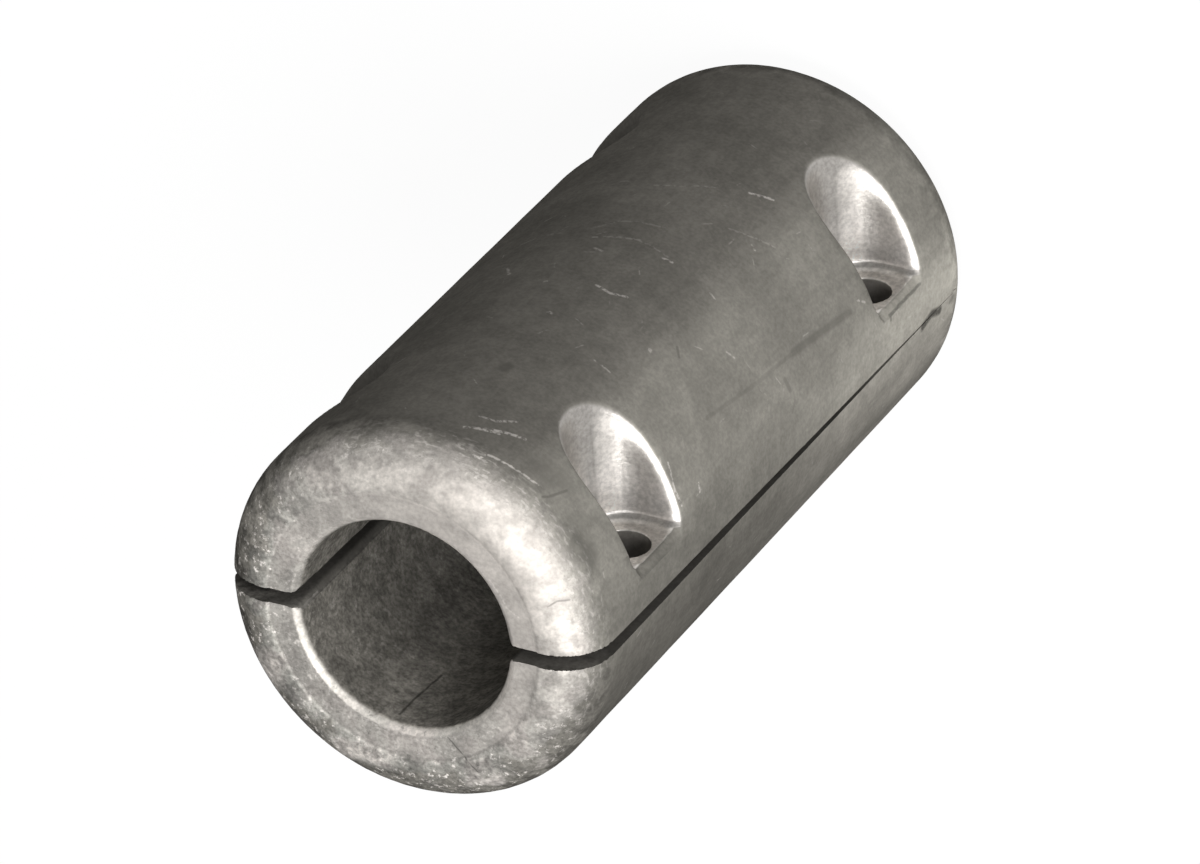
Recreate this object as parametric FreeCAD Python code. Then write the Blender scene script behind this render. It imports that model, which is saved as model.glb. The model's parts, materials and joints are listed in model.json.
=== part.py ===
import FreeCAD, Part

import math
import os

# Split collar anode for a boat's propeller shaft, in millimetres.
# Two zinc half shells close round the shaft and four cap screws pull them together.
# The bore runs along +Z and the part stands on the end where the two halves touch.
# The half with the screw pockets faces -Y, and the half with the threads faces +Y.

# Barrel
shaft_diameter = 40.0
barrel_diameter = 72.0
barrel_length = 158.0
end_rounding = 9.0
bore_chamfer = 1.3

# Shallow recess in each end face, inside the crest of the rounding
recess_depth = 0.3
recess_slope = 0.7
crest_width = 0.6

# Joint between the halves, measured from the plane through the shaft's axis
joint_setback = 1.2
open_end_setback = 1.6
touching_land = 10.0
joint_chamfer = 1.0

# Screws, M8: their axes cross the joint midway between the bore and the barrel
screw_pitch = 98.5
clearance_hole_diameter = 9.5
tap_drill_diameter = 6.8
tap_depth = 15.0
drill_point_angle = 118.0
countersink = 0.8

# Pockets that take the screw heads
pocket_floor = 8.2
pocket_floor_radius = 8.6
pocket_draft = 4.0
pocket_floor_bevel = 0.8
spot_face_diameter = 15.0
spot_face_depth = 0.4
lip_bevel = 1.3
lip_bevel_angle = 47.0

# Worked out from the sizes above
bore_radius = shaft_diameter / 2
barrel_radius = barrel_diameter / 2
screw_offset = (bore_radius + barrel_radius) / 2
overshoot = 2.0
same_place = 0.0001
screw_heights = [
    barrel_length / 2 - screw_pitch / 2,
    barrel_length / 2 + screw_pitch / 2,
]
OUTWARD = FreeCAD.Vector(0, -1, 0)
INWARD = FreeCAD.Vector(0, 1, 0)
AXIS = FreeCAD.Vector(0, 0, 1)


def point(x, y, z):
    return FreeCAD.Vector(x, y, z)


def prism(corners, direction):
    """A face through the corners, swept along a direction."""
    outline = Part.makePolygon(corners + corners[:1])
    return Part.Face(outline).extrude(direction)


def end_profile(z_end, inward):
    """Edges of one end's half section, from the bore to the barrel, and their first and last points."""

    def at(radius, depth):
        return point(radius, 0, z_end + inward * depth)

    crest_radius = barrel_radius - end_rounding
    bore_edge = at(bore_radius, recess_depth + bore_chamfer)
    ring_inner = at(bore_radius + bore_chamfer, recess_depth)
    ring_outer = at(crest_radius - crest_width - recess_slope, recess_depth)
    crest_inner = at(crest_radius - crest_width, 0)
    crest_outer = at(crest_radius, 0)
    arc_middle = at(
        crest_radius + end_rounding * math.sin(math.pi / 4),
        end_rounding * (1 - math.cos(math.pi / 4)),
    )
    barrel_edge = at(barrel_radius, end_rounding)
    edges = [
        Part.makeLine(bore_edge, ring_inner),
        Part.makeLine(ring_inner, ring_outer),
        Part.makeLine(ring_outer, crest_inner),
        Part.makeLine(crest_inner, crest_outer),
        Part.Arc(crest_outer, arc_middle, barrel_edge).toShape(),
    ]
    return edges, bore_edge, barrel_edge


def barrel(seam_angle):
    """The whole collar before it is parted. Its seam is turned to the side that is cut away."""
    bottom, bottom_bore, bottom_barrel = end_profile(0, 1)
    top, top_bore, top_barrel = end_profile(barrel_length, -1)
    edges = bottom + top
    edges.append(Part.makeLine(bottom_bore, top_bore))
    edges.append(Part.makeLine(bottom_barrel, top_barrel))
    section = Part.Face(Part.Wire(Part.__sortEdges__(edges)))
    collar = section.revolve(point(0, 0, 0), AXIS, 360)
    return collar.rotated(point(0, 0, 0), AXIS, seam_angle)


def joint_line():
    """Points along the pocketed half's joint face, from the touching end to the open end."""
    slope = (joint_setback + open_end_setback) / (barrel_length - touching_land)
    beyond = barrel_length + overshoot
    return [
        point(0, joint_setback, -overshoot),
        point(0, joint_setback, touching_land),
        point(0, joint_setback - slope * (beyond - touching_land), beyond),
    ]


def pocketed_side():
    """The space on the pocketed half's side of the joint."""
    reach = barrel_radius + overshoot
    start, land_end, open_end = joint_line()
    corners = [start, land_end, open_end, point(0, -reach, open_end.z), point(0, -reach, start.z)]
    shift = point(-reach, 0, 0)
    return prism([shift + c for c in corners], point(2 * reach, 0, 0))


def tapped_side():
    """The space on the tapped half's side of the joint."""
    reach = barrel_radius + overshoot
    corner = point(-reach, joint_setback, -overshoot)
    return Part.makeBox(2 * reach, reach, barrel_length + 2 * overshoot, corner)


def bevel_bar(start, end, side):
    """A three-sided bar along the bore's edge in a joint face, with one corner out in the joint."""
    inner_x = side * (bore_radius - joint_chamfer)
    outer_x = side * (bore_radius + joint_chamfer)
    corners = [
        point(outer_x, start.y, start.z),
        point(inner_x, start.y + 2 * joint_chamfer, start.z),
        point(inner_x, start.y - 2 * joint_chamfer, start.z),
    ]
    return prism(corners, end - start)


def joint_bevels(line):
    """The bars that break the inner edges of a joint face, on both sides of the bore."""
    return [
        bevel_bar(start, end, side)
        for side in (-1, 1)
        for start, end in zip(line, line[1:])
    ]


def drafted_slot(side, height):
    """A U-shaped space that opens through the barrel's side and widens outwards with the draft."""
    x = side * screw_offset
    base = pocket_floor / 2
    top = barrel_radius + overshoot
    taper = math.tan(math.radians(pocket_draft))
    low_half = pocket_floor_radius - (pocket_floor - base) * taper
    high_half = pocket_floor_radius + (top - pocket_floor) * taper
    rounded_end = Part.makeCone(low_half, high_half, top - base, point(x, -base, height), OUTWARD)
    corners = [
        point(x, -base, height - low_half),
        point(x, -base, height + low_half),
        point(x, -top, height + high_half),
        point(x, -top, height - high_half),
    ]
    open_side = prism(corners, point(side * (top - screw_offset), 0, 0))
    return rounded_end.fuse(open_side).removeSplitter()


def floor_y(x):
    """The pocket floor's place: flat, then falling away along the bevel at the barrel's side."""
    edge = math.sqrt(barrel_radius**2 - pocket_floor**2)
    past_edge = max(0, abs(x) - edge + lip_bevel)
    return -pocket_floor + past_edge * math.tan(math.radians(lip_bevel_angle))


def above_floor(side, height):
    """The space outside the pocket's floor and its bevelled lip."""
    reach = barrel_radius + 2 * overshoot
    edge = math.sqrt(barrel_radius**2 - pocket_floor**2)
    inner = side * (screw_offset - 2 * pocket_floor_radius)
    crease = side * (edge - lip_bevel)
    outer = side * reach
    low = height - 2 * pocket_floor_radius
    corners = [
        point(inner, floor_y(inner), low),
        point(crease, floor_y(crease), low),
        point(outer, floor_y(outer), low),
        point(outer, -reach, low),
        point(inner, -reach, low),
    ]
    return prism(corners, point(0, 0, 4 * pocket_floor_radius))


def pocket(side, height):
    """One pocket for a screw's head, with a bevel where its walls meet the floor."""
    tool = drafted_slot(side, height).common(above_floor(side, height))
    foot_edges = [
        edge
        for edge in tool.Edges
        if all(abs(v.Y - floor_y(v.X)) < same_place for v in edge.Vertexes)
        and edge.BoundBox.XLength > same_place
    ]
    return tool.makeChamfer(pocket_floor_bevel, foot_edges)


def spot_face(side, height):
    """The shallow round seat that the screw's washer lies on."""
    centre = point(side * screw_offset, -pocket_floor + spot_face_depth, height)
    length = spot_face_depth + pocket_floor_bevel
    return Part.makeCylinder(spot_face_diameter / 2, length, centre, OUTWARD)


def clearance_hole(side, height):
    """The plain hole from the pocket's floor through to the joint."""
    start = point(side * screw_offset, joint_setback + overshoot, height)
    length = joint_setback + overshoot + pocket_floor
    return Part.makeCylinder(clearance_hole_diameter / 2, length, start, OUTWARD)


def tapped_hole(side, height):
    """A drilled blind hole with its point and countersink. The thread is cut in it later."""
    radius = tap_drill_diameter / 2
    mouth = point(side * screw_offset, joint_setback, height)
    drill_end = mouth + INWARD * tap_depth
    drilled = Part.makeCylinder(radius, tap_depth, mouth, INWARD)
    tip_length = radius / math.tan(math.radians(drill_point_angle / 2))
    drill_tip = Part.makeCone(radius, 0, tip_length, drill_end, INWARD)
    mouth_cone = Part.makeCone(radius + countersink, radius, countersink, mouth, INWARD)
    return drilled.fuse([drill_tip, mouth_cone]).removeSplitter()


def at_each_screw(make):
    return [make(side, height) for side in (-1, 1) for height in screw_heights]


def pocketed_half():
    half = barrel(seam_angle=90).common(pocketed_side())
    cuts = at_each_screw(pocket)
    cuts += at_each_screw(spot_face)
    cuts += at_each_screw(clearance_hole)
    cuts += joint_bevels(joint_line())
    return half.cut(cuts).removeSplitter()


def tapped_half():
    half = barrel(seam_angle=-90).common(tapped_side())
    straight = [
        point(0, joint_setback, -overshoot),
        point(0, joint_setback, barrel_length + overshoot),
    ]
    cuts = at_each_screw(tapped_hole)
    cuts += joint_bevels(straight)
    return half.cut(cuts).removeSplitter()


def save(name, shape):
    solids = shape.Solids
    if len(solids) != 1:
        raise ValueError(f"{name} has {len(solids)} solids")
    solids[0].exportStep(f"parts/{name}.step")
    box = shape.BoundBox
    print(f"{name}: {shape.Volume / 1000:.1f} cm3, Z {box.ZMin:.2f} to {box.ZMax:.2f}")


os.makedirs("parts", exist_ok=True)
save("pocketed_half", pocketed_half())
save("tapped_half", tapped_half())
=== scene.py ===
import json
import math

import bmesh
import bpy
import numpy as np
from mathutils import Matrix, Vector, kdtree


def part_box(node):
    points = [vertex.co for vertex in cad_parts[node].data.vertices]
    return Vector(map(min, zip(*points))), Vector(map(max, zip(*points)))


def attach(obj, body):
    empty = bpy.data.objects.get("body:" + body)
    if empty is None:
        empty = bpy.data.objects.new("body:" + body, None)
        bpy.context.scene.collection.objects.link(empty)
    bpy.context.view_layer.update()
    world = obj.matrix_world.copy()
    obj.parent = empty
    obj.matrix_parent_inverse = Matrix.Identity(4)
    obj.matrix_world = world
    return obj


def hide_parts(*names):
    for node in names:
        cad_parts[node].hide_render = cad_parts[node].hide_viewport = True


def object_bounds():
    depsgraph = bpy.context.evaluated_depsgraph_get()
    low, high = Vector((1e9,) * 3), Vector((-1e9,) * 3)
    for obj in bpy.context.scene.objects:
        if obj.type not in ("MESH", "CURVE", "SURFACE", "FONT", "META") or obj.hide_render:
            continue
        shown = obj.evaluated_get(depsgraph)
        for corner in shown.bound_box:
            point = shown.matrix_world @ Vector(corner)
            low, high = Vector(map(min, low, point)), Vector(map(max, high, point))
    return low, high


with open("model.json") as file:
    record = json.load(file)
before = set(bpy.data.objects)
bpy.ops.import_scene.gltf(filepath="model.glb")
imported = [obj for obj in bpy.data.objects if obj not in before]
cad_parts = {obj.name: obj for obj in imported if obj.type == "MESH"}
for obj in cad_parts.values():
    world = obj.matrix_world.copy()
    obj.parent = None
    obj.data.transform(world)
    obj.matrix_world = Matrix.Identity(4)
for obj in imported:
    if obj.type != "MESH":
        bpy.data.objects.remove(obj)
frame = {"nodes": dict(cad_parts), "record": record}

# split shaft anode: two worn zinc castings with bare ends, on a white table

mm = 0.001
cadLow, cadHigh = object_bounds()
mounts = {m["name"]: m for m in frame["record"]["mounts"]}

# sizes that everything below is worked out from, in millimetres
anode = {
    "length": (cadHigh.z - cadLow.z) / mm,
    "barrelRadius": cadHigh.x / mm,
    "boreRadius": mounts["shaft_bore"]["dims"]["r_mm"],
    "endRounding": 9.0,
    "crest": 0.6,            # flat top between the rounding and the ring
    "ringSlope": 0.7,
    "ringDepth": 0.3,
    "boreChamfer": 1.3,
    "pocketFloor": 8.2,      # distance of the pocket floors from the shaft's axis
    "jointY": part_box("tapped_half")[0].y / mm,
    "openEndY": -1.6,        # where the pocketed half's joint face ends at the open end
    "touchingLand": 10.0,    # length over which the halves touch
}
jointSlope = (anode["openEndY"] - anode["jointY"]) / (anode["length"] - anode["touchingLand"])
crestRadius = anode["barrelRadius"] - anode["endRounding"]
middle = anode["length"] / 2
straightReach = middle - anode["endRounding"]    # how far the straight barrel goes from the middle


def plainScene():
    scene = bpy.context.scene
    scene.view_settings.view_transform = "Standard"
    return scene.collection


collection = plainScene()


# meshes

def pieceFromMesh(name, mesh):
    piece = bpy.data.objects.new(name, mesh)
    collection.objects.link(piece)
    return piece


def meshWithModifiers(piece):
    depsgraph = bpy.context.evaluated_depsgraph_get()
    done = bpy.data.meshes.new_from_object(piece.evaluated_get(depsgraph), depsgraph=depsgraph)
    old = piece.data
    piece.modifiers.clear()
    piece.data = done
    bpy.data.meshes.remove(old)


def readPlaces(mesh):
    flat = np.empty(len(mesh.vertices) * 3, dtype=np.float32)
    mesh.vertices.foreach_get("co", flat)
    return flat.reshape(-1, 3).astype(float) / mm


def writePlaces(mesh, places):
    mesh.vertices.foreach_set("co", (places * mm).astype(np.float32).ravel())
    mesh.update()


def smoothStep(values, low, high):
    t = np.clip((values - low) / (high - low), 0, 1)
    return t * t * (3 - 2 * t)


def rangeAt(base, ends):
    # a range, given by how far its two ends are from a base
    return base + ends[0], base + ends[1]


def radiusAndDepth(places):
    # how far each place is from the shaft's axis and from the nearer end
    radius = np.hypot(places[:, 0], places[:, 1])
    return radius, np.minimum(places[:, 2], anode["length"] - places[:, 2])


def addSmoothing(piece, name, passes, group=""):
    smoothing = piece.modifiers.new(name, "SMOOTH")
    smoothing.factor = 0.5       # half way to the middle of its neighbours at each pass
    smoothing.iterations = passes
    smoothing.vertex_group = group


def paintGroup(piece, name, weights, steps=20):
    group = piece.vertex_groups.new(name=name)
    level = np.round(weights * steps)
    for step in range(1, steps + 1):
        group.add(np.flatnonzero(level == step).tolist(), step / steps, "REPLACE")


casting = {
    "mergeDistance": 0.001 * mm,
    "voxel": 0.35 * mm,          # size of the squares that the skin is rebuilt from
    "evenPasses": 3,
    "snapReach": 0.15,           # skin this near to a turned surface is put back on it, mm
    "ringSnapReach": 0.3,
    "jointSnapReach": 0.28,
    "boreFromEnd": 2.0,          # the bore is put back from this far in, mm
    "ringFrom": 0.05,            # and the end ring from this far outside the bore
    "jointFrom": 2.0,            # and the joint's faces from this far outside it
    "sharpFrom": math.radians(50),
    "triangles": 196000,
    "unevenScale": 14 * mm,
    "unevenDepth": 0.10 * mm,
    "roughScale": 1.6 * mm,
    "roughDepth": 0.10 * mm,
    "smoothWorn": 0.75,          # how much less the worn side's roundings are roughened
    "roughBelow": 7.0,           # the roundings are rough all over from this far inside the barrel, mm
    "roughEnds": (-2, 6),        # and smooth again over this stretch past the rounding's end
    "roughBore": (0.2, 0.6),     # the bore is rough up to this far outside its radius
}


def rebuiltSkin(node, s):
    # an even skin over a merged copy of the solid, so that edges can be worn and faces roughened
    base = bmesh.new()
    base.from_mesh(frame["nodes"][node].data)
    bmesh.ops.remove_doubles(base, verts=base.verts, dist=s["mergeDistance"])
    mesh = bpy.data.meshes.new(node + "_casting")
    base.to_mesh(mesh)
    rim = rimPoints(base, rimWear)
    base.free()
    piece = pieceFromMesh(node + "_casting", mesh)
    remesh = piece.modifiers.new("skin", "REMESH")
    remesh.mode = "VOXEL"
    remesh.voxel_size = s["voxel"]
    addSmoothing(piece, "even", s["evenPasses"])
    meshWithModifiers(piece)
    return piece, rim


def putBackOnTurnedSurfaces(places, s):
    # the bore, the barrel and the end roundings are true surfaces of revolution
    radius, fromEnd = radiusAndDepth(places)
    straight = fromEnd > anode["endRounding"]
    for trueRadius, where in (
        (anode["barrelRadius"], straight),
        (anode["boreRadius"], fromEnd > s["boreFromEnd"]),
    ):
        near = where & (np.abs(radius - trueRadius) < s["snapReach"])
        places[near, :2] *= (trueRadius / radius[near])[:, None]
    outward = radius - crestRadius
    along = anode["endRounding"] - fromEnd
    reach = np.hypot(outward, along)
    near = (outward > 0) & (along > 0) & (np.abs(reach - anode["endRounding"]) < s["snapReach"])
    scale = anode["endRounding"] / reach[near]
    newRadius = crestRadius + outward[near] * scale
    places[near, :2] *= (newRadius / radius[near])[:, None]
    fromEnd[near] = anode["endRounding"] - along[near] * scale
    # the sunk ring with its sloping edge, and the chamfer at the bore's mouth
    ringOuter = crestRadius - anode["crest"] - anode["ringSlope"]
    stops = [
        (anode["boreRadius"], anode["ringDepth"] + anode["boreChamfer"]),
        (anode["boreRadius"] + anode["boreChamfer"], anode["ringDepth"]),
        (ringOuter, anode["ringDepth"]),
        (crestRadius - anode["crest"], 0),
        (crestRadius, 0),
    ]
    profile = np.interp(radius, [r for r, depth in stops], [depth for r, depth in stops])
    onRing = (radius > anode["boreRadius"] + s["ringFrom"]) & (radius < crestRadius)
    onRing &= np.abs(fromEnd - profile) < s["ringSnapReach"]
    fromEnd[onRing] = profile[onRing]
    changed = near | onRing
    lower = places[changed, 2] < middle
    places[changed, 2] = np.where(lower, fromEnd[changed], anode["length"] - fromEnd[changed])
    return places


def putBackOnJoint(node, places, s):
    # the joint's outer edges stay crisp: a point near one goes on to it
    rise = np.maximum(places[:, 2] - anode["touchingLand"], 0)
    plane = np.full(len(places), anode["jointY"])
    if node == "pocketed_half":
        plane += rise * jointSlope
    radius, fromEnd = radiusAndDepth(places)
    offBarrel = np.abs(anode["barrelRadius"] - radius)
    offJoint = np.abs(places[:, 1] - plane)
    toJoint = (offJoint < s["jointSnapReach"]) & (radius > anode["boreRadius"] + s["jointFrom"])
    places[toJoint, 1] = plane[toJoint]
    corner = toJoint & (offBarrel < s["jointSnapReach"]) & (fromEnd > anode["endRounding"])
    reach = np.sqrt(anode["barrelRadius"] ** 2 - plane[corner] ** 2)
    places[corner, 0] = np.sign(places[corner, 0]) * reach
    return places


# how the pockets' rims are worn round, in millimetres
rimWear = {
    "sharp": math.radians(30),
    "onBarrel": 0.05,
    "aboveFloor": 1.0,          # the rim is left sharp along the lip, this near to the floor
    "spacing": 0.3,             # between the points that mark the rim
    "lipReach": (1.8, 4.0),     # rounded most, and where the rounding ends, near the lip
    "deepReach": (3.2, 6.4),    # the same at the pocket's deep end
    "deepFrom": (10.0, 30.0),
    "barrelReach": (0.2, 1.0),
    "passes": 130,
    "brightReach": 0.5,
    "deepest": 5.0,             # nothing further inside the barrel than this is looked at
}


def rimPoints(solid, s):
    # where a pocket's walls break out through the barrel
    points = []
    for edge in solid.edges:
        if not edge.is_manifold or edge.calc_face_angle() < s["sharp"]:
            continue
        ends = [v.co / mm for v in edge.verts]
        onBarrel = all(abs(math.hypot(p.x, p.y) - anode["barrelRadius"]) < s["onBarrel"] for p in ends)
        if onBarrel and all(p.y < -anode["pocketFloor"] - s["aboveFloor"] for p in ends):
            count = max(1, math.ceil((ends[1] - ends[0]).length / s["spacing"]))
            points += [ends[0].lerp(ends[1], i / count) for i in range(count + 1)]
    return points


def distanceTo(points, places, nearby):
    # distance in mm of each place to the nearest point, worked out only where it can matter
    distance = np.full(len(places), np.inf)
    if not points:
        return distance
    tree = kdtree.KDTree(len(points))
    for i, p in enumerate(points):
        tree.insert(p, i)
    tree.balance()
    for i in np.flatnonzero(nearby):
        distance[i] = tree.find(places[i])[2]
    return distance


def nearBarrel(places):
    radius = np.hypot(places[:, 0], places[:, 1])
    return (radius > anode["barrelRadius"] - rimWear["deepest"]) & (places[:, 1] < 0)


thread = {"pitch": 1.25, "depth": 0.55, "clearOfMouth": 1.2, "reach": 0.25}    # in millimetres


def cutThreads(places, s):
    # M8 grooves in the four tapped holes
    for mount in mounts.values():
        if mount["kind"] != "threaded_hole":
            continue
        centre = [c / mm for c in mount["pos_m"]]
        hole = mount["dims"]["r_mm"]
        x = places[:, 0] - centre[0]
        z = places[:, 2] - centre[2]
        radius = np.hypot(x, z)
        depth = places[:, 1] - anode["jointY"]
        inHole = (np.abs(radius - hole) < s["reach"]) & (depth > s["clearOfMouth"])
        inHole &= depth < mount["dims"]["length_mm"]
        turn = depth[inHole] / s["pitch"] + np.arctan2(z[inHole], x[inHole]) / (2 * math.pi)
        groove = np.abs(turn % 1 - 0.5) * 2
        grow = (hole + s["depth"] * groove) / radius[inHole]
        places[inHole, 0] = centre[0] + x[inHole] * grow
        places[inHole, 2] = centre[2] + z[inHole] * grow
    return places


def castUneven(piece, name, scale, depth, group=""):
    texture = bpy.data.textures.new(name, "CLOUDS")
    texture.noise_scale = scale
    texture.noise_depth = 2
    uneven = piece.modifiers.new(name, "DISPLACE")
    uneven.texture = texture
    uneven.texture_coords = "LOCAL"
    uneven.mid_level = 1.0       # inwards only, so the casting never outgrows its solid
    uneven.strength = depth
    uneven.vertex_group = group


def keptInBarrel(places):
    # the thinning may leave a point just outside the barrel
    radius = np.hypot(places[:, 0], places[:, 1])
    outside = radius > anode["barrelRadius"]
    places[outside, :2] *= (anode["barrelRadius"] / radius[outside])[:, None]
    places[:, 2] = np.clip(places[:, 2], 0, anode["length"])
    return places


def softenRims(piece, rim, places, s):
    # the smoothing rounds the walls' rims, more so at a pocket's deep end
    distance = distanceTo(rim, places, nearBarrel(places))
    onBarrel = np.hypot(places[:, 0], places[:, 1]) > anode["barrelRadius"] - casting["snapReach"]
    deep = smoothStep(-places[:, 1], *s["deepFrom"])
    full, end = [a + (b - a) * deep for a, b in zip(s["lipReach"], s["deepReach"])]
    onWall = 1 - smoothStep(distance, full, end)
    onSkin = 1 - smoothStep(distance, *s["barrelReach"])
    paintGroup(piece, "rim", np.where(onBarrel, onSkin, onWall))
    addSmoothing(piece, "rim", s["passes"], "rim")


def roughWeights(places, s):
    # rough on the roundings, less so where they are worn, and on the bore's wall
    radius, fromEnd = radiusAndDepth(places)
    rounding = smoothStep(radius, crestRadius, anode["barrelRadius"] - s["roughBelow"])
    rounding *= 1 - smoothStep(fromEnd, *rangeAt(anode["endRounding"], s["roughEnds"]))
    wornAndLit = places @ np.array(zinc["bareSide"]) / radius
    rounding *= 1 - s["smoothWorn"] * smoothStep(wornAndLit, *zinc["bareRange"])
    boreWall = 1 - smoothStep(radius, *rangeAt(anode["boreRadius"], s["roughBore"]))
    return np.maximum(rounding, boreWall)


def dressHalf(node, s):
    piece, rim = rebuiltSkin(node, s)
    places = putBackOnTurnedSurfaces(readPlaces(piece.data), s)
    places = putBackOnJoint(node, places, s)
    if node == "tapped_half":
        places = cutThreads(places, thread)
    writePlaces(piece.data, places)
    if rim:
        softenRims(piece, rim, places, rimWear)
    paintGroup(piece, "rough", roughWeights(places, s))
    castUneven(piece, "uneven", s["unevenScale"], s["unevenDepth"])
    castUneven(piece, "rough", s["roughScale"], s["roughDepth"], "rough")
    thin = piece.modifiers.new("thin", "DECIMATE")
    thin.ratio = s["triangles"] / (2 * len(piece.data.polygons))
    meshWithModifiers(piece)
    piece.vertex_groups.clear()
    places = keptInBarrel(readPlaces(piece.data))
    writePlaces(piece.data, places)
    distance = distanceTo(rim, places, nearBarrel(places))
    wear = piece.data.attributes.new("rimWear", "FLOAT", "POINT")
    wear.data.foreach_set("value", 1 - smoothStep(distance, 0, rimWear["brightReach"]))
    piece.data.shade_smooth()
    piece.data.set_sharp_from_angle(angle=s["sharpFrom"])
    piece.data.materials.clear()
    piece.data.materials.append(castZinc)
    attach(piece, "root")
    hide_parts(node)
    print(f"{node}: {len(piece.data.vertices)} points, {len(piece.data.polygons)} faces")


# node helpers

def addNode(tree, kind, inputs=None, **settings):
    made = tree.nodes.new(kind)
    for key, value in settings.items():
        setattr(made, key, value)
    for key, value in (inputs or {}).items():
        if isinstance(value, bpy.types.NodeSocket):
            tree.links.new(value, made.inputs[key])
        else:
            made.inputs[key].default_value = value
    return made


def maths(tree, operation, *values):
    made = addNode(tree, "ShaderNodeMath", dict(enumerate(values)), operation=operation)
    return made.outputs[0]


def vectorMaths(tree, operation, a, b=None, scale=None, output="Vector"):
    made = addNode(tree, "ShaderNodeVectorMath", {0: a}, operation=operation)
    if isinstance(b, bpy.types.NodeSocket):
        tree.links.new(b, made.inputs[1])
    elif b is not None:
        made.inputs[1].default_value = b
    if scale is not None:
        made.inputs["Scale"].default_value = scale
    return made.outputs[output]


def scaledBy(tree, vector, scale):
    made = addNode(tree, "ShaderNodeVectorMath", {0: vector, "Scale": scale}, operation="SCALE")
    return made.outputs[0]


def ramp(tree, value, low, high, start=0.0, end=1.0, shape="SMOOTHSTEP"):
    made = addNode(
        tree,
        "ShaderNodeMapRange",
        {"Value": value, "From Min": low, "From Max": high, "To Min": start, "To Max": end},
        interpolation_type=shape,
    )
    return made.outputs["Result"]


def noiseAt(tree, place, scale, detail, roughness):
    made = addNode(
        tree,
        "ShaderNodeTexNoise",
        {"Vector": place, "Scale": scale, "Detail": detail, "Roughness": roughness},
    )
    return made.outputs["Fac"]


def blendColor(tree, factor, a, b):
    made = addNode(tree, "ShaderNodeMix", data_type="RGBA")
    for key, value in (("Factor", factor), ("A", a), ("B", b)):
        socket = next(i for i in made.inputs if i.name == key and i.enabled)
        if isinstance(value, bpy.types.NodeSocket):
            tree.links.new(value, socket)
        else:
            socket.default_value = value
    return next(o for o in made.outputs if o.enabled)


def mixValue(tree, factor, a, b):
    made = addNode(tree, "ShaderNodeMix", {0: factor, 2: a, 3: b}, data_type="FLOAT")
    return made.outputs[0]


def opposite(tree, value):
    return maths(tree, "SUBTRACT", 1.0, value)


def newMaterial(name):
    material = bpy.data.materials.new(name)
    material.use_nodes = True
    material.node_tree.nodes.clear()
    return material, material.node_tree


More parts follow.
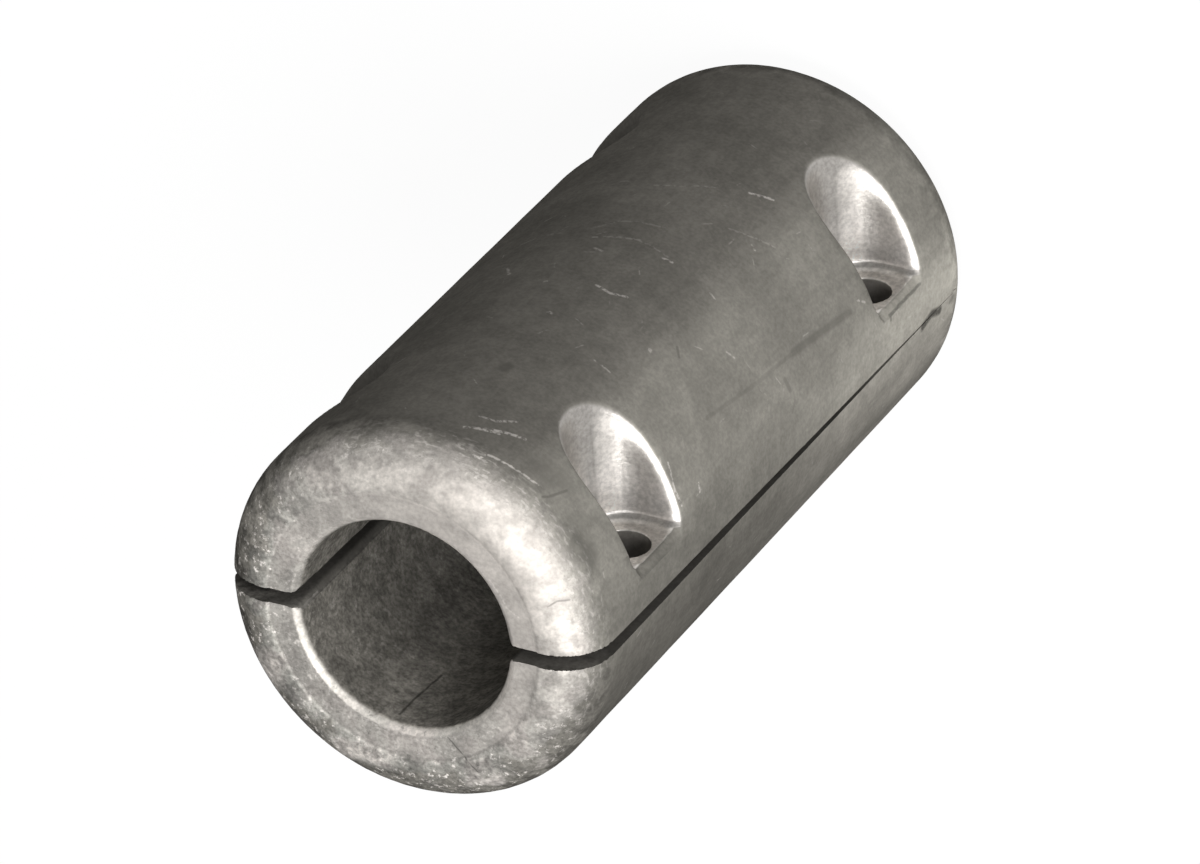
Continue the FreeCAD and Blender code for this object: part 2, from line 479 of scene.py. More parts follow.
# marks that stand out: each is a chain of points on the part, its half width in mm, and its strength
marks = {
    "light": [
        ([(-7.1, -35.3, 146.1), (-12.9, -33.6, 142.2), (-16.0, -32.3, 140.8)], 0.48, 0.62),
        ([(-7.8, -35.2, 141.5), (-10.4, -34.4, 140.8), (-13.2, -33.5, 138.0)], 0.4, 0.5),
        ([(-9.4, -34.7, 144.8), (-12.4, -33.8, 143.4)], 0.4, 0.6),
        ([(-11.7, -33.7, 151.5), (-12.7, -33.3, 151.4), (-13.1, -33.4, 150.3)], 0.36, 0.6),
        ([(-13.6, -33.3, 149.8), (-17.3, -31.5, 148.9), (-22.0, -28.5, 148.1)], 0.42, 0.55),
        (
            [(-16.9, -14.1, 157.7), (-19.3, -11.1, 157.7), (-20.4, -8.8, 157.7), (-22.7, -7.6, 157.7)],
            0.25,
            0.6,
        ),
        ([(11.6, 16.3, 139.2), (8.1, 18.3, 138.8)], 0.30, 0.35),
        ([(5.5, 19.2, 153.4), (3.5, 19.7, 153.6)], 0.35, 0.45),
        ([(-13.8, -33.3, 47.4), (-17.2, -31.6, 45.1)], 0.45, 0.65),
        ([(-5.8, -35.5, 92.5), (-8.7, -34.9, 93.2), (-11.4, -34.2, 92.0)], 0.45, 0.55),
        ([(2.2, -35.9, 77.8), (-2.1, -35.9, 75.9), (-5.5, -35.6, 74.8)], 0.45, 0.18),
        ([(-11.0, -34.3, 77.0), (-12.6, -33.7, 76.7)], 0.42, 0.5),
        ([(-15.0, -32.7, 112.1), (-18.0, -31.2, 112.3)], 0.32, 0.3),
        ([(-19.8, -30.1, 59.3), (-20.6, -29.5, 59.8)], 0.32, 0.35),
        ([(-20.4, -29.7, 77.5), (-21.5, -28.9, 77.8)], 0.32, 0.35),
        ([(-27.3, -23.4, 85.3), (-28.4, -22.1, 84.5)], 0.32, 0.3),
        ([(-33.1, -14.2, 44.0), (-33.6, -12.9, 41.9)], 0.32, 0.4),
        ([(-31.0, -18.3, 116.5), (-33.1, -14.2, 118.2), (-34.1, -11.4, 117.8)], 0.42, 0.5),
        ([(-34.0, -12.0, 110.8), (-34.4, -10.6, 111.2)], 0.42, 0.5),
        ([(15.5, -32.5, 80.2), (11.9, -34.0, 77.5), (9.1, -34.8, 77.1)], 0.35, 0.1),
        ([(4.0, -35.8, 74.7), (0.4, -36.0, 70.7), (-2.8, -35.9, 69.4), (-7.3, -35.2, 68.5)], 0.35, 0.13),
        ([(-4.8, -35.7, 75.0), (-7.6, -35.2, 75.1), (-11.5, -34.1, 76.0)], 0.3, 0.15),
        ([(0.7, -36.0, 56.2), (-3.4, -35.8, 54.4), (-8.5, -35.0, 50.8)], 0.35, 0.12),
        ([(-15.6, -32.4, 59.5), (-20.1, -29.8, 56.7), (-22.4, -28.2, 55.3)], 0.35, 0.15),
        ([(12.9, -33.6, 90.4), (11.0, -34.3, 93.3)], 0.4, 0.35),
        ([(0.1, -36.0, 81.4), (-1.5, -36.0, 81.8)], 0.4, 0.3),
        ([(3.5, -35.8, 96.1), (2.5, -35.9, 95.4)], 0.35, 0.3),
        ([(-2.8, -35.9, 105.2), (-3.1, -35.9, 105.4)], 0.6, 0.4),
        ([(-19.9, -30.0, 100.6), (-20.2, -29.8, 100.7)], 0.6, 0.35),
    ],
    "dark": [
        ([(2.1, 19.9, 139.7), (2.8, 19.8, 149.1), (2.8, 19.8, 154.3)], 0.36, 0.8),
        ([(-8.3, 20.0, 157.7), (-14.0, 25.4, 157.8)], 0.25, 0.6),
        ([(-23.5, -27.2, 149.4), (-24.3, -26.5, 147.3), (-25.1, -25.8, 143.4)], 0.42, 0.38),
        ([(-28.0, -11.0, 157.5), (-29.4, -11.9, 156.6), (-31.2, -12.0, 155.3)], 0.25, 0.45),
        ([(-35.9, 1.7, 22.3), (-36.0, 0.9, 18.4), (-35.9, 2.0, 14.9)], 1.3, 0.8),
        ([(-35.9, 2.6, 10.4), (-35.9, 2.2, 9.2)], 0.7, 0.35),
        ([(-30.7, -18.8, 100.5), (-31.8, -16.9, 82.7), (-32.2, -16.0, 68.9)], 0.6, 0.2),
        ([(-32.2, -16.0, 68.9), (-32.7, -15.1, 59.9), (-33.3, -13.6, 47.5)], 1.1, 0.27),
        ([(-33.3, -13.6, 74.5), (-34.1, -11.6, 74.1)], 0.8, 0.3),
        ([(-35.1, -6.8, 21.8), (-35.1, -6.8, 34.7)], 0.4, 0.5),
        ([(-35.2, -6.9, 34.7), (-35.4, -6.0, 34.9)], 0.5, 0.5),
        ([(-30.4, -19.2, 150.0), (-31.4, -17.6, 148.4)], 4.0, 0.28),
        ([(-20.5, -29.6, 144.5), (-23.5, -27.3, 143.0)], 4.0, 0.2),
        ([(-4.5, -35.7, 125.8), (-4.7, -35.7, 124.8)], 1.6, 0.3),
        ([(-22.4, -28.2, 94.9), (-23.5, -27.3, 96.5)], 0.45, 0.35),
        ([(-34.7, -9.4, 73.5), (-35.1, -7.9, 75.2)], 0.4, 0.2),
    ],
    "bendScale": 0.5,
    "bend": 0.4,
    "soft": 0.3,                              # share of the half width over which a mark is full
    "brokenLight": (0.38, 0.56, 0.05, 0.85),  # from these levels of the fine noise to these strengths
    "brokenDark": (0.3, 0.55, 0.45, 1.0),
    "inBore": 0.6,
}
dashMarks = {
    "spacing": 7.0,
    "halfLength": 1.4,
    "fullLength": 0.56,
    "halfWidth": 0.22,
    "share": 0.5,
    "strength": 0.28,
}

# noise patterns: scale in turns per mm, detail and roughness
noises = {
    "coarse": (0.07, 3.0, 0.5),
    "patchy": (0.15, 2.0, 0.5),
    "medium": (0.3, 3.0, 0.5),
    "fine": (1.3, 4.0, 0.6),
    "fleck": (0.8, 4.0, 0.7),
    "drawn": (0.7, 2.0, 0.6),
    "streak": (0.9, 2.0, 0.5),
}
stretches = {
    "drawn": (1, 1, 0.07),      # along the shaft
    "streak": (0.6, 1.5, 1.0),  # round the barrel, on the unrolled place
}

# the zinc's settings, with lengths in mm: most pairs are where something begins and where it is full
zinc = {
    # barrel
    "skin": (0.225, 0.215, 0.191, 1),     # dull oxide, painted lighter on the side facing the key lamp
    "patina": (0.157, 0.149, 0.133, 1),   # darker oxide everywhere else, partly painted shade away from the key lamp
    "wornSide": (-0.906, -0.423, 0),      # where the barrel's skin is lightest, towards the key lamp: partly oxide, partly painted light
    "skinRange": (0.79, 0.95),
    "handledFrom": (15, 110),             # heights between which the tone beside the joint changes
    "handledFar": (1.7, 1.05),            # at the far end: beside the joint, and low on the tapped half
    "handledFade": (9, 15.5),
    "handledNear": 0.65,
    "besideJoint": (-14.0, -3.0),
    # bare metal at the ends
    "bare": (0.52, 0.486, 0.452, 1),
    "bareGrey": (0.31, 0.303, 0.278, 1),  # where the oxide comes back
    "greyLevels": (0.34, 0.54),
    "greyShare": (0.1, 1.0),              # on the worn and the unworn side
    "greyOnRing": 0.6,
    "bareSide": (-0.643, -0.766, 0),      # where the roundings are worn most, which is also where the key lamp's highlight falls, so partly painted highlight
    "bareRange": (-0.3, 1.0),
    "bareReach": (3.1, 12.6),             # how far down it is bare on the unworn and the worn side
    "bareSoft": 4.2,
    "bareFrom": (-3, 1),                  # the ends begin this far from the rounding's start
    "edgeMedium": 10.0,                   # how far each noise moves the edge of the bare metal
    "edgeFleck": 7.0,
    "edgePatchy": (26.0, 3.0),            # on the unworn and the worn side
    "edgeReach": (8.0, 1.0),
    "farEnd": (70, 20),
    "farEndShorter": 5.0,                 # the far end is bare this much less far down
    "ringEdge": (-0.6, -1.4),
    "ringTone": 0.88,
    "ringLine": 1.25,                     # the crest's inner slope is this far in
    "ringLineReach": (0.35, 0.1),
    "ringLineTone": (1.2, 0.8),           # painted highlight on the worn side and painted shade on the unworn side
    "tappedFrom": (-1.5, 1.2),
    "tappedTone": 0.98,                   # the bare metal of the tapped half is duller
    "chamferEdge": (1.5, 1.05),
    # painted highlight: the tapped half's chamfer, which faces the key lamp, is made this much lighter
    "chamferTone": 1.6,
    # pockets
    "pocket": (0.60, 0.57, 0.535, 1),
    "pocketDeep": (0.86, 0.82, 0.78, 1),  # painted light: lighter towards the foot of the walls, against the pocket's shade
    "pocketDeepFrom": (-13.8, -2.8),
    # the floors' metal, painted lighter where the walls shade them
    "pocketFloor": (0.62, 0.592, 0.554, 1),
    "polished": (-0.643, 0, 0.766),       # the way that the walls' painted sheen stripe faces; the walls are painted darker away from it
    "polishedRange": (0.94, 0.998),
    "polishedTone": (0.62, 1.15),
    "pocketFoot": 0.4,                    # the line where the walls meet the floor is this far out, and is painted darker there as shade in the crease
    "pocketFootReach": (0.5, 0.25),
    "pocketFootTone": 0.6,
    "offBore": (0.6, 1.2),                # a pocket is told by its distance from the surfaces around it
    "offRounding": (0.5, -0.5),
    "underSkin": (-0.1, -0.45),
    "abovePocketFloor": (0.75, 0.6),
    "onPocketFloor": (-0.8, -0.5),
    "lipAside": (2.4, 2.1),               # a pocket's bevelled lip keeps the barrel's skin
    "lipAcross": (-0.1, 0.05),
    "holeDepth": (0.6, 0.9),
    "holeOffLip": (-1.2, -1.6),
    "cleanPockets": (5.0, -5.0),          # the pockets on the far side keep the barrel's dark oxide
    # bore
    "bore": (0.12, 0.113, 0.10, 1),
    "boreEdge": (0.7, 0.1),
    "dustyBore": 1.75,                    # how much lighter the bore is on its lower side
    "dustyAcross": (12.0, 18.0),
    "dustyAside": (12.0, 4.0),
    "boreFlecks": 0.13,
    # dirt and painted shade
    "dirt": (0.032, 0.030, 0.027, 1),     # in the dark marks
    # painted shade inside the holes in the pocket floors
    "holeDirt": (0.14, 0.132, 0.12, 1),
    "jointDirt": (0.075, 0.071, 0.064, 1),
    "openEndDirt": 1.6,                   # how much lighter the joint's dirt and painted shade are at the open end
    "openEndFrom": (-12.0, -2.0),
    "jointDirtFrom": (25, 60),            # the shut end of the joint has little dirt and painted shade
    "jointDirtLeast": 0.3,
    "jointReach": (1.6, 1.2),             # how far from its faces the joint begins and is full
    "jointFacing": (0.85, 0.97),
    "jointNearBore": (4.0, 3.0),          # the bevels beside the bore are darkened too
    "jointBevels": 0.3,
    # marks and flecks
    "scratched": (0.66, 0.62, 0.585, 1),
    "lightFlecks": (0.55, 0.66),
    "darkFlecks": (0.42, 0.32),
    "lightFleckTone": (0.5, 0.65),        # on the worn and the unworn side
    "darkFleckTone": 0.42,
    "fleckSpread": 0.85,                  # share of the flecks away from the edge, on the unworn side
    "fleckDown": (15.0, 9.0),
    "fleckLeast": 0.1,
    "lightStreaks": (0.55, 0.64),
    "darkStreaks": (0.45, 0.36),
    "lightStreakTone": 0.28,
    "darkStreakTone": 0.16,
    # unevenness of tone: how much of each pattern a surface has, and what the pattern does
    "endGrain": (0.3, 0.9),
    "ringGrain": 0.7,
    "pocketGrain": 0.5,
    "leastGrain": 0.32,
    "boreMottle": 0.45,
    "barrelMottle": 0.14,
    "endMottle": (0.35, 1.0),
    "ringMottle": 0.45,
    "chamferMottle": 0.3,
    "coarseShade": (0.3, 0.7, 0.9, 1.1),
    "mediumShade": (0.37, 0.63, 0.6, 1.4),
    "drawnShade": (0.3, 0.7, 0.965, 1.035),
    "fineShade": (0.3, 0.7, 0.68, 1.32),
    # finish
    "endMetal": 0.65,
    "pocketMetal": 0.85,
    "specular": 0.0,
    "skinRough": 0.5,
    "endRough": 0.62,
    "pocketRough": 0.36,
    "boreRough": 0.75,
    "relief": 0.05 * mm,
    "reliefShare": (0.4, 1.0),            # where there is no grain, and where there is most
}


def segmentDistance(tree, place, start, end):
    line = Vector(end) - Vector(start)
    fromStart = vectorMaths(tree, "SUBTRACT", place, start)
    along = vectorMaths(tree, "DOT_PRODUCT", fromStart, line / line.length_squared, output="Value")
    along = addNode(tree, "ShaderNodeClamp", {"Value": along}).outputs["Result"]
    nearest = scaledBy(tree, line, along)
    return vectorMaths(tree, "LENGTH", vectorMaths(tree, "SUBTRACT", fromStart, nearest), output="Value")


def largest(tree, values):
    total = values[0]
    for value in values[1:]:
        total = maths(tree, "MAXIMUM", total, value)
    return total


def product(tree, values):
    total = values[0]
    for value in values[1:]:
        total = maths(tree, "MULTIPLY", total, value)
    return total


def drawnMarks(tree, place, chains):
    # each mark is strongest along its middle and fades across its half width
    lines = []
    for chain, halfWidth, strength in chains:
        for start, end in zip(chain, chain[1:]):
            distance = segmentDistance(tree, place, start, end)
            lines.append(ramp(tree, distance, halfWidth, halfWidth * marks["soft"], 0.0, strength))
    return largest(tree, lines)


def dashes(tree, unrolled, s):
    # short straight marks at random places and angles, one in some of the cells
    cell = addNode(
        tree,
        "ShaderNodeTexVoronoi",
        {"Vector": unrolled, "Scale": 1 / s["spacing"]},
        voronoi_dimensions="2D",
    )
    away = vectorMaths(tree, "SUBTRACT", unrolled, cell.outputs["Position"])
    chance = addNode(tree, "ShaderNodeSeparateXYZ", {"Vector": cell.outputs["Color"]}).outputs
    angle = maths(tree, "MULTIPLY", chance[0], math.pi)
    sine = maths(tree, "SINE", angle)
    cosine = maths(tree, "COSINE", angle)
    minusSine = maths(tree, "MULTIPLY", sine, -1.0)
    direction = addNode(tree, "ShaderNodeCombineXYZ", {0: cosine, 1: sine}).outputs[0]
    normal = addNode(tree, "ShaderNodeCombineXYZ", {0: minusSine, 1: cosine}).outputs[0]
    along = maths(tree, "ABSOLUTE", vectorMaths(tree, "DOT_PRODUCT", away, direction, output="Value"))
    beside = maths(tree, "ABSOLUTE", vectorMaths(tree, "DOT_PRODUCT", away, normal, output="Value"))
    return product(tree, [
        ramp(tree, beside, s["halfWidth"], 0.0),
        ramp(tree, along, s["halfLength"], s["fullLength"]),
        ramp(tree, chance[1], 1 - s["share"], 1.0, 0.0, s["strength"]),
    ])


def measured(tree):
    # what the masks below are made from, in millimetres on the part
    coords = addNode(tree, "ShaderNodeTexCoord").outputs
    place = vectorMaths(tree, "SCALE", coords["Object"], scale=1 / mm)
    parts = addNode(tree, "ShaderNodeSeparateXYZ", {"Vector": place}).outputs
    level = vectorMaths(tree, "MULTIPLY", place, (1, 1, 0))
    radius = vectorMaths(tree, "LENGTH", level, output="Value")
    aside, back = (maths(tree, "MULTIPLY", parts[i], -1.0) for i in (0, 1))
    girth = maths(tree, "MULTIPLY", maths(tree, "ARCTAN2", back, aside), radius)
    facing = addNode(tree, "ShaderNodeSeparateXYZ", {"Vector": coords["Normal"]}).outputs
    fromMiddle = maths(tree, "ABSOLUTE", maths(tree, "SUBTRACT", parts["Z"], middle))
    # from the crest outwards and down the rounding, about 0.2 mm for each degree of its turn
    pastCrest = maths(tree, "SUBTRACT", radius, crestRadius - middle)
    return {
        "place": place,
        "aside": parts["X"],
        "across": parts["Y"],
        "height": parts["Z"],
        "radius": radius,
        "outward": vectorMaths(tree, "NORMALIZE", level),
        "fromMiddle": fromMiddle,
        "down": maths(tree, "SUBTRACT", pastCrest, fromMiddle),
        "unrolled": addNode(tree, "ShaderNodeCombineXYZ", {0: girth, 1: parts["Z"]}).outputs[0],
        "facing": coords["Normal"],
        "facingJoint": maths(tree, "ABSOLUTE", facing["Y"]),
    }


def pocketMasks(tree, at, s):
    # the pockets' walls, floors and rims, and the holes in their floors
    bore, barrel, floor = anode["boreRadius"], anode["barrelRadius"], -anode["pocketFloor"]
    within = product(tree, [
        ramp(tree, at["radius"], *rangeAt(bore, s["offBore"])),
        ramp(tree, at["fromMiddle"], *rangeAt(straightReach, s["offRounding"])),
    ])
    onLip = product(tree, [
        ramp(tree, at["aside"], *rangeAt(-barrel, s["lipAside"])),
        ramp(tree, at["across"], *rangeAt(floor, s["lipAcross"])),
    ])
    inside = product(tree, [
        within,
        opposite(tree, onLip),
        ramp(tree, at["radius"], *rangeAt(barrel, s["underSkin"])),
        ramp(tree, at["across"], *rangeAt(floor, s["abovePocketFloor"])),
    ])
    rim = addNode(tree, "ShaderNodeAttribute", attribute_name="rimWear").outputs["Fac"]
    hole = product(tree, [
        within,
        ramp(tree, at["across"], *rangeAt(floor, s["holeDepth"])),
        ramp(tree, at["radius"], *rangeAt(barrel, s["holeOffLip"])),
    ])
    clean = ramp(tree, at["aside"], *s["cleanPockets"])
    pocket = maths(tree, "MULTIPLY", maths(tree, "MAXIMUM", inside, rim), clean)
    onFloor = maths(tree, "MULTIPLY", pocket, ramp(tree, at["across"], *rangeAt(floor, s["onPocketFloor"])))
    return pocket, onFloor, hole


def jointMask(tree, at, s):
    # the two faces of the joint: one flat, the other sloping away from it towards the open end
    rise = maths(tree, "MAXIMUM", maths(tree, "SUBTRACT", at["height"], anode["touchingLand"]), 0.0)
    low = maths(tree, "MULTIPLY_ADD", rise, jointSlope, anode["jointY"])
    fromLow = maths(tree, "SUBTRACT", at["across"], low)
    bevels = rangeAt(anode["boreRadius"], s["jointNearBore"])
    nearBore = ramp(tree, at["radius"], *bevels, 0.0, s["jointBevels"])
    begins, full = s["jointReach"]
    return product(tree, [
        ramp(tree, fromLow, -begins, -full),
        ramp(tree, at["across"], *rangeAt(anode["jointY"], s["jointReach"])),
        ramp(tree, maths(tree, "ADD", at["facingJoint"], nearBore), *s["jointFacing"]),
        ramp(tree, at["height"], *s["jointDirtFrom"], s["jointDirtLeast"], 1.0),
    ])


def bareMasks(tree, at, noise, s):
    # bare metal on the rings and roundings, further down on the worn side, with a mottled edge; the worn
    # side is also the lit side, so the bare metal there is partly a painted highlight, and the oxide left
    # on the other side is partly painted shade
    side = vectorMaths(tree, "DOT_PRODUCT", at["outward"], s["bareSide"], output="Value")
    # the worn side is also the side that the key lamp lights, so this share carries painted highlight and
    # shade as well as wear
    wear = ramp(tree, side, *s["bareRange"], shape="LINEAR")
    past = maths(tree, "SUBTRACT", at["down"], mixValue(tree, wear, *s["bareReach"]))
    for name, reach in (
        ("medium", s["edgeMedium"]),
        ("fleck", s["edgeFleck"]),
        ("patchy", mixValue(tree, wear, *s["edgePatchy"])),
    ):
        past = maths(tree, "MULTIPLY_ADD", maths(tree, "SUBTRACT", noise[name], 0.5), reach, past)
    past = maths(tree, "ADD", past, ramp(tree, at["height"], *s["farEnd"], 0.0, s["farEndShorter"]))
    atEnd = ramp(tree, at["fromMiddle"], *rangeAt(straightReach, s["bareFrom"]))
    bare = maths(tree, "MULTIPLY", ramp(tree, past, s["bareSoft"], -s["bareSoft"]), atEnd)
    edge = ramp(tree, maths(tree, "ABSOLUTE", past), *s["edgeReach"])
    return wear, bare, atEnd, maths(tree, "MULTIPLY", atEnd, edge)


def patterns(tree, at):
    made = {}
    for name, settings in noises.items():
        place = at["unrolled"] if name == "streak" else at["place"]
        if name in stretches:
            place = vectorMaths(tree, "MULTIPLY", place, stretches[name])
        made[name] = noiseAt(tree, place, *settings)
    return made


def surfaces(tree, at, noise, s):
    # masks for the anode's different surfaces
    wear, bare, atEnd, nearEdge = bareMasks(tree, at, noise, s)
    pocket, onFloor, hole = pocketMasks(tree, at, s)
    tapped = ramp(tree, at["across"], *s["tappedFrom"])
    chamfer = ramp(tree, at["radius"], *rangeAt(anode["boreRadius"], s["chamferEdge"]))
    return {
        "wear": wear,
        "unworn": opposite(tree, wear),
        "bare": bare,
        "atEnd": atEnd,
        "nearEdge": nearEdge,
        "pocket": pocket,
        "pocketFloor": onFloor,
        "hole": hole,
        "joint": jointMask(tree, at, s),
        "bore": ramp(tree, at["radius"], *rangeAt(anode["boreRadius"], s["boreEdge"])),
        "ring": ramp(tree, at["radius"], *rangeAt(crestRadius, s["ringEdge"])),
        "tapped": tapped,
        "chamfer": maths(tree, "MULTIPLY", chamfer, tapped),
    }


def scratches(tree, at, noise, on):
    # the marks lie on a slightly bent copy of the place and are broken up along their length
    bend = addNode(tree, "ShaderNodeTexNoise", {"Vector": at["place"], "Scale": marks["bendScale"]})
    bend = vectorMaths(tree, "SUBTRACT", bend.outputs["Color"], (0.5, 0.5, 0.5))
    bent = vectorMaths(tree, "ADD", at["place"], vectorMaths(tree, "SCALE", bend, scale=marks["bend"]))
    dash = maths(tree, "MULTIPLY", dashes(tree, at["unrolled"], dashMarks), opposite(tree, on["atEnd"]))
    light = maths(tree, "MAXIMUM", drawnMarks(tree, bent, marks["light"]), dash)
    light = maths(tree, "MULTIPLY", light, ramp(tree, noise["fine"], *marks["brokenLight"]))
    dark = drawnMarks(tree, bent, marks["dark"])
    return light, maths(tree, "MULTIPLY", dark, ramp(tree, noise["fine"], *marks["brokenDark"]))


def flecks(tree, at, noise, on, s):
    # light and dark flecks where the bare metal ends, and all over the side that is worn less, which is
    # also painted as the shaded side
    spread = maths(tree, "MULTIPLY", on["atEnd"], mixValue(tree, on["unworn"], 0.0, s["fleckSpread"]))
    flecked = maths(tree, "MAXIMUM", on["nearEdge"], spread)
    onRounding = ramp(tree, at["down"], *s["fleckDown"], s["fleckLeast"], 1.0)
    flecked = maths(tree, "MULTIPLY", flecked, onRounding)
    lightTone = mixValue(tree, on["unworn"], *s["lightFleckTone"])
    light = product(tree, [ramp(tree, noise["fleck"], *s["lightFlecks"]), flecked, lightTone])
    dark = product(tree, [ramp(tree, noise["fleck"], *s["darkFlecks"]), flecked, s["darkFleckTone"]])
    # short streaks along the same edge on the worn side
    streaked = maths(tree, "MULTIPLY", on["nearEdge"], on["wear"])
    lightStreaks = ramp(tree, noise["streak"], *s["lightStreaks"])
    lightStreaks = product(tree, [lightStreaks, streaked, s["lightStreakTone"]])
    darkStreaks = ramp(tree, noise["streak"], *s["darkStreaks"])
    darkStreaks = product(tree, [darkStreaks, streaked, s["darkStreakTone"]])
    return maths(tree, "MAXIMUM", light, lightStreaks), maths(tree, "MAXIMUM", dark, darkStreaks)


def barrelColor(tree, at, s):
    # beside the joint the skin is darker towards the open end and lighter at the far end
    atFarEnd = ramp(tree, at["across"], *s["handledFade"], *s["handledFar"])
    jointSideTone = ramp(tree, at["height"], *s["handledFrom"], atFarEnd, s["handledNear"])
    jointSideTone = mixValue(tree, ramp(tree, at["across"], *s["besideJoint"]), 1.0, jointSideTone)
    # the skin is lighter towards the key lamp and darker away from it: partly oxide, partly painted shade
    wornAndLit = vectorMaths(tree, "DOT_PRODUCT", at["outward"], s["wornSide"], output="Value")
    color = blendColor(tree, ramp(tree, wornAndLit, *s["skinRange"]), s["patina"], s["skin"])
    return scaledBy(tree, color, jointSideTone)


def bareColor(tree, at, noise, on, s):
    grey = product(tree, [
        ramp(tree, noise["patchy"], *s["greyLevels"]),
        mixValue(tree, on["unworn"], *s["greyShare"]),
        mixValue(tree, on["ring"], 1.0, s["greyOnRing"]),
    ])
    lineRadius = crestRadius - s["ringLine"]
    fromLine = maths(tree, "ABSOLUTE", maths(tree, "SUBTRACT", at["radius"], lineRadius))
    # painted highlight on the worn side and painted shade on the other, along the crest's inner slope
    lineLightAndShade = mixValue(tree, on["unworn"], *s["ringLineTone"])
    tone = product(tree, [
        mixValue(tree, on["ring"], 1.0, s["ringTone"]),
        mixValue(tree, on["tapped"], 1.0, s["tappedTone"]),
        # painted highlight on the tapped half's chamfer
        mixValue(tree, on["chamfer"], 1.0, s["chamferTone"]),
        ramp(tree, fromLine, *s["ringLineReach"], 1.0, lineLightAndShade),
    ])
    return scaledBy(tree, blendColor(tree, grey, s["bare"], s["bareGrey"]), tone)


def pocketColor(tree, at, on, s):
    # painted light: the walls are made lighter towards their foot
    deep = ramp(tree, at["across"], *rangeAt(-anode["pocketFloor"], s["pocketDeepFrom"]))
    color = blendColor(tree, deep, s["pocket"], s["pocketDeep"])
    # painted sheen: the walls are lighter along a stripe that faces one way and darker elsewhere
    sheenStripe = vectorMaths(tree, "DOT_PRODUCT", at["facing"], s["polished"], output="Value")
    color = scaledBy(tree, color, ramp(tree, sheenStripe, *s["polishedRange"], *s["polishedTone"]))
    # painted light: the floors are made lighter where the walls shade them
    color = blendColor(tree, on["pocketFloor"], color, s["pocketFloor"])
    # painted shade: darker along the crease where the walls meet the floor
    footAt = anode["pocketFloor"] + s["pocketFoot"]
    fromFoot = maths(tree, "ABSOLUTE", maths(tree, "ADD", at["across"], footAt))
    return scaledBy(tree, color, ramp(tree, fromFoot, *s["pocketFootReach"], 1.0, s["pocketFootTone"]))


def boreColor(tree, at, noise, light, s):
    boreLowerSide = product(tree, [
        ramp(tree, at["across"], *s["dustyAcross"]),
        ramp(tree, at["aside"], *s["dustyAside"]),
    ])
    color = scaledBy(tree, s["bore"][:3], mixValue(tree, boreLowerSide, 1.0, s["dustyBore"]))
    flecked = maths(tree, "MULTIPLY", ramp(tree, noise["fleck"], *s["lightFlecks"]), s["boreFlecks"])
    color = blendColor(tree, flecked, color, s["bare"])
    return blendColor(tree, maths(tree, "MULTIPLY", light, marks["inBore"]), color, s["bare"])


def unevenTone(tree, noise, on, s):
    # the patterns' shares on each surface, and the tone that they come to
    grain = largest(tree, [
        product(tree, [
            on["atEnd"],
            mixValue(tree, on["unworn"], *s["endGrain"]),
            mixValue(tree, on["ring"], 1.0, s["ringGrain"]),
        ]),
        on["bore"],
        maths(tree, "MULTIPLY", on["pocket"], s["pocketGrain"]),
        s["leastGrain"],
    ])
    atRounding = product(tree, [
        mixValue(tree, on["unworn"], *s["endMottle"]),
        mixValue(tree, on["ring"], 1.0, s["ringMottle"]),
        mixValue(tree, on["chamfer"], 1.0, s["chamferMottle"]),
    ])
    mottle = maths(
        tree,
        "MAXIMUM",
        maths(tree, "MULTIPLY", on["bore"], s["boreMottle"]),
        mixValue(tree, on["atEnd"], s["barrelMottle"], atRounding),
    )
    shade = product(tree, [
        ramp(tree, noise["coarse"], *s["coarseShade"]),
        mixValue(tree, mottle, 1.0, ramp(tree, noise["medium"], *s["mediumShade"])),
        ramp(tree, noise["drawn"], *s["drawnShade"]),
        mixValue(tree, grain, 1.0, ramp(tree, noise["fine"], *s["fineShade"])),
    ])
    return grain, shade


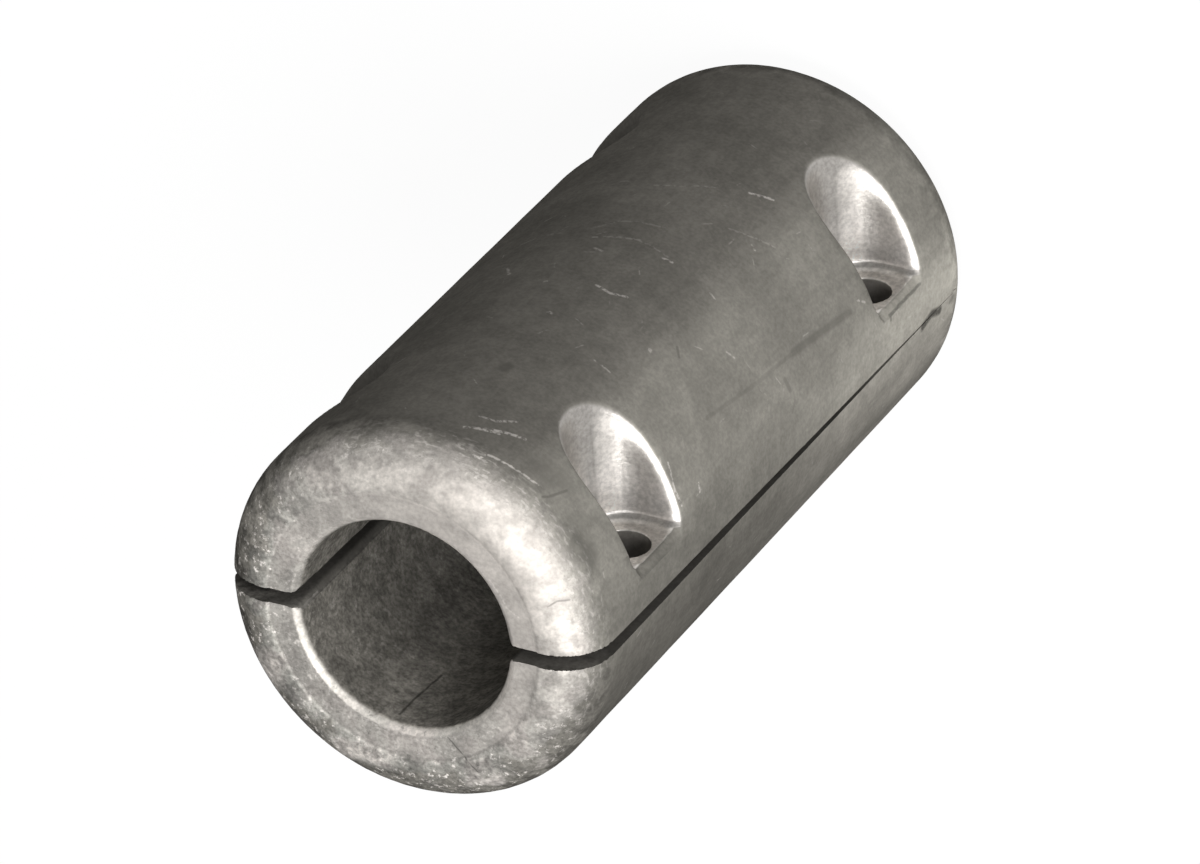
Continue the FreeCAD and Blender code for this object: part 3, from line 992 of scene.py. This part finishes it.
def makeZinc(s):
    material, tree = newMaterial("cast_zinc_worn")
    at = measured(tree)
    noise = patterns(tree, at)
    on = surfaces(tree, at, noise, s)
    light, dark = scratches(tree, at, noise, on)
    lightFlecks, darkFlecks = flecks(tree, at, noise, on, s)

    color = barrelColor(tree, at, s)
    color = blendColor(tree, on["bare"], color, bareColor(tree, at, noise, on, s))
    color = blendColor(tree, on["pocket"], color, pocketColor(tree, at, on, s))
    color = blendColor(tree, maths(tree, "MAXIMUM", light, lightFlecks), color, s["scratched"])
    color = blendColor(tree, on["bore"], color, boreColor(tree, at, noise, light, s))
    color = blendColor(tree, maths(tree, "MAXIMUM", dark, darkFlecks), color, s["dirt"])
    # painted shade in the holes
    color = blendColor(tree, on["hole"], color, s["holeDirt"])
    # dirt and painted shade on the joint's faces, in the gap between the halves
    openEnd = rangeAt(anode["length"], s["openEndFrom"])
    openEnd = ramp(tree, at["height"], *openEnd, 1.0, s["openEndDirt"])
    color = blendColor(tree, on["joint"], color, scaledBy(tree, s["jointDirt"][:3], openEnd))
    grain, shade = unevenTone(tree, noise, on, s)
    color = scaledBy(tree, color, shade)

    dull = largest(tree, [on["bore"], on["joint"], on["hole"]])
    metal = mixValue(tree, on["bare"], 0.0, s["endMetal"])
    metal = mixValue(tree, on["pocket"], metal, s["pocketMetal"])
    metal = mixValue(tree, dull, metal, 0.0)
    rough = mixValue(tree, on["bare"], s["skinRough"], s["endRough"])
    rough = mixValue(tree, on["pocket"], rough, s["pocketRough"])
    rough = mixValue(tree, dull, rough, s["boreRough"])

    # the marks are left out of the relief, which would work each of them out three times more
    relief = maths(tree, "MULTIPLY", noise["fine"], mixValue(tree, grain, *s["reliefShare"]))
    bump = addNode(tree, "ShaderNodeBump", {"Strength": 1.0, "Distance": s["relief"], "Height": relief})
    shader = addNode(
        tree,
        "ShaderNodeBsdfPrincipled",
        {
            "Base Color": color,
            "Metallic": metal,
            "Roughness": rough,
            "Specular IOR Level": s["specular"],
            "Normal": bump.outputs["Normal"],
        },
    )
    output = addNode(tree, "ShaderNodeOutputMaterial")
    tree.links.new(shader.outputs["BSDF"], output.inputs["Surface"])
    return material


castZinc = makeZinc(zinc)
print(f"zinc: {len(castZinc.node_tree.nodes)} nodes")
for halfName in ("pocketed_half", "tapped_half"):
    dressHalf(halfName, casting)


# table, lamps and camera

floorSettings = {
    "size": 8.0,
    "below": 0.02 * mm,
    "color": (0.25, 0.25, 0.245, 1),
    "seenColor": (0.95, 0.95, 0.95, 1),
    "seenWhite": 0.95,
}


def makeFloor(s):
    sheet = bmesh.new()
    bmesh.ops.create_grid(sheet, x_segments=1, y_segments=1, size=s["size"] / 2)
    bmesh.ops.translate(sheet, verts=sheet.verts, vec=(0, 0, cadLow.z - s["below"]))
    mesh = bpy.data.meshes.new("table")
    sheet.to_mesh(mesh)
    sheet.free()
    table = pieceFromMesh("table", mesh)
    material, tree = newMaterial("white_table")
    path = addNode(tree, "ShaderNodeLightPath").outputs
    seen = maths(tree, "MAXIMUM", path["Is Camera Ray"], path["Is Glossy Ray"])
    seen = maths(tree, "MAXIMUM", seen, path["Is Transmission Ray"])
    color = blendColor(tree, seen, s["color"], s["seenColor"])
    matte = addNode(tree, "ShaderNodeBsdfDiffuse", {"Color": color})
    white = addNode(tree, "ShaderNodeEmission", {"Color": (1, 1, 1, 1), "Strength": 1.0})
    mixed = addNode(tree, "ShaderNodeMixShader", {"Fac": maths(tree, "MULTIPLY", seen, s["seenWhite"])})
    tree.links.new(matte.outputs[0], mixed.inputs[1])
    tree.links.new(white.outputs[0], mixed.inputs[2])
    output = addNode(tree, "ShaderNodeOutputMaterial")
    tree.links.new(mixed.outputs[0], output.inputs["Surface"])
    mesh.materials.append(material)


makeFloor(floorSettings)

# each lamp's level is what it adds to a white face that looks straight at it
lamps = [
    {"name": "key_lamp", "from": (-0.406, -0.062, 0.911), "reach": 1.0, "width": 0.45, "level": 1.0},
    {"name": "side_lamp", "from": (-0.8, -0.35, 0.5), "reach": 1.1, "width": 0.5, "level": 0.35},
    {"name": "back_lamp", "from": (0.1, 0.98, 0.1), "reach": 1.2, "width": 0.8, "level": 0.25},
]
aim = Vector((0, 0, middle * mm))


def makeLamp(s):
    data = bpy.data.lights.new(s["name"], "AREA")
    data.shape = "DISK"
    data.size = s["width"]
    data.energy = s["level"] * (math.pi * s["reach"]) ** 2
    lamp = bpy.data.objects.new(s["name"], data)
    towards = Vector(s["from"]).normalized()
    turn = towards.to_track_quat("Z", "Y").to_matrix().to_4x4()
    lamp.matrix_world = Matrix.Translation(aim + towards * s["reach"]) @ turn
    collection.objects.link(lamp)


for settings in lamps:
    makeLamp(settings)


worldSettings = {"dark": 0.3, "pale": 0.7, "darkFrom": 0.3, "paleFrom": -1.0}


def makeWorld(s):
    # a plain grey surround, paler on the side that the lamps stand on
    world = bpy.data.worlds.new("studio")
    bpy.context.scene.world = world
    world.use_nodes = True
    tree = world.node_tree
    coords = addNode(tree, "ShaderNodeTexCoord").outputs["Generated"]
    across = addNode(tree, "ShaderNodeSeparateXYZ", {"Vector": coords}).outputs["X"]
    level = ramp(tree, across, s["darkFrom"], s["paleFrom"], s["dark"], s["pale"])
    tree.links.new(level, tree.nodes["Background"].inputs["Color"])


makeWorld(worldSettings)
print("table, lamps and surround are in")

# the photograph's view: the anode's open end is nearest, and its joint runs down the right side
cameraSettings = {
    "azimuth": -38.29,      # degrees round the anode from its pocketed side
    "elevation": 50.677,
    "roll": 135.646,
    "distance": 1.7329,
    "target": (0.00039, 0.00183, 0.08038),
    "lens": 293.05,
    "sensor": 36.0,
    "sees": (0.1, 20.0),    # nearest and furthest, in metres
}


def makeCamera(s):
    azimuth = math.radians(s["azimuth"])
    elevation = math.radians(s["elevation"])
    back = Vector((
        math.sin(azimuth) * math.cos(elevation),
        -math.cos(azimuth) * math.cos(elevation),
        math.sin(elevation),
    ))
    data = bpy.data.cameras.new("camera")
    data.lens = s["lens"]
    data.sensor_width = s["sensor"]
    data.clip_start, data.clip_end = s["sees"]
    camera = bpy.data.objects.new("camera", data)
    roll = Matrix.Rotation(-math.radians(s["roll"]), 3, "Z").to_quaternion()
    turn = ((-back).to_track_quat("-Z", "Y") @ roll).to_matrix().to_4x4()
    camera.matrix_world = Matrix.Translation(Vector(s["target"]) + back * s["distance"]) @ turn
    collection.objects.link(camera)
    bpy.context.scene.camera = camera


makeCamera(cameraSettings)
print("camera is in")
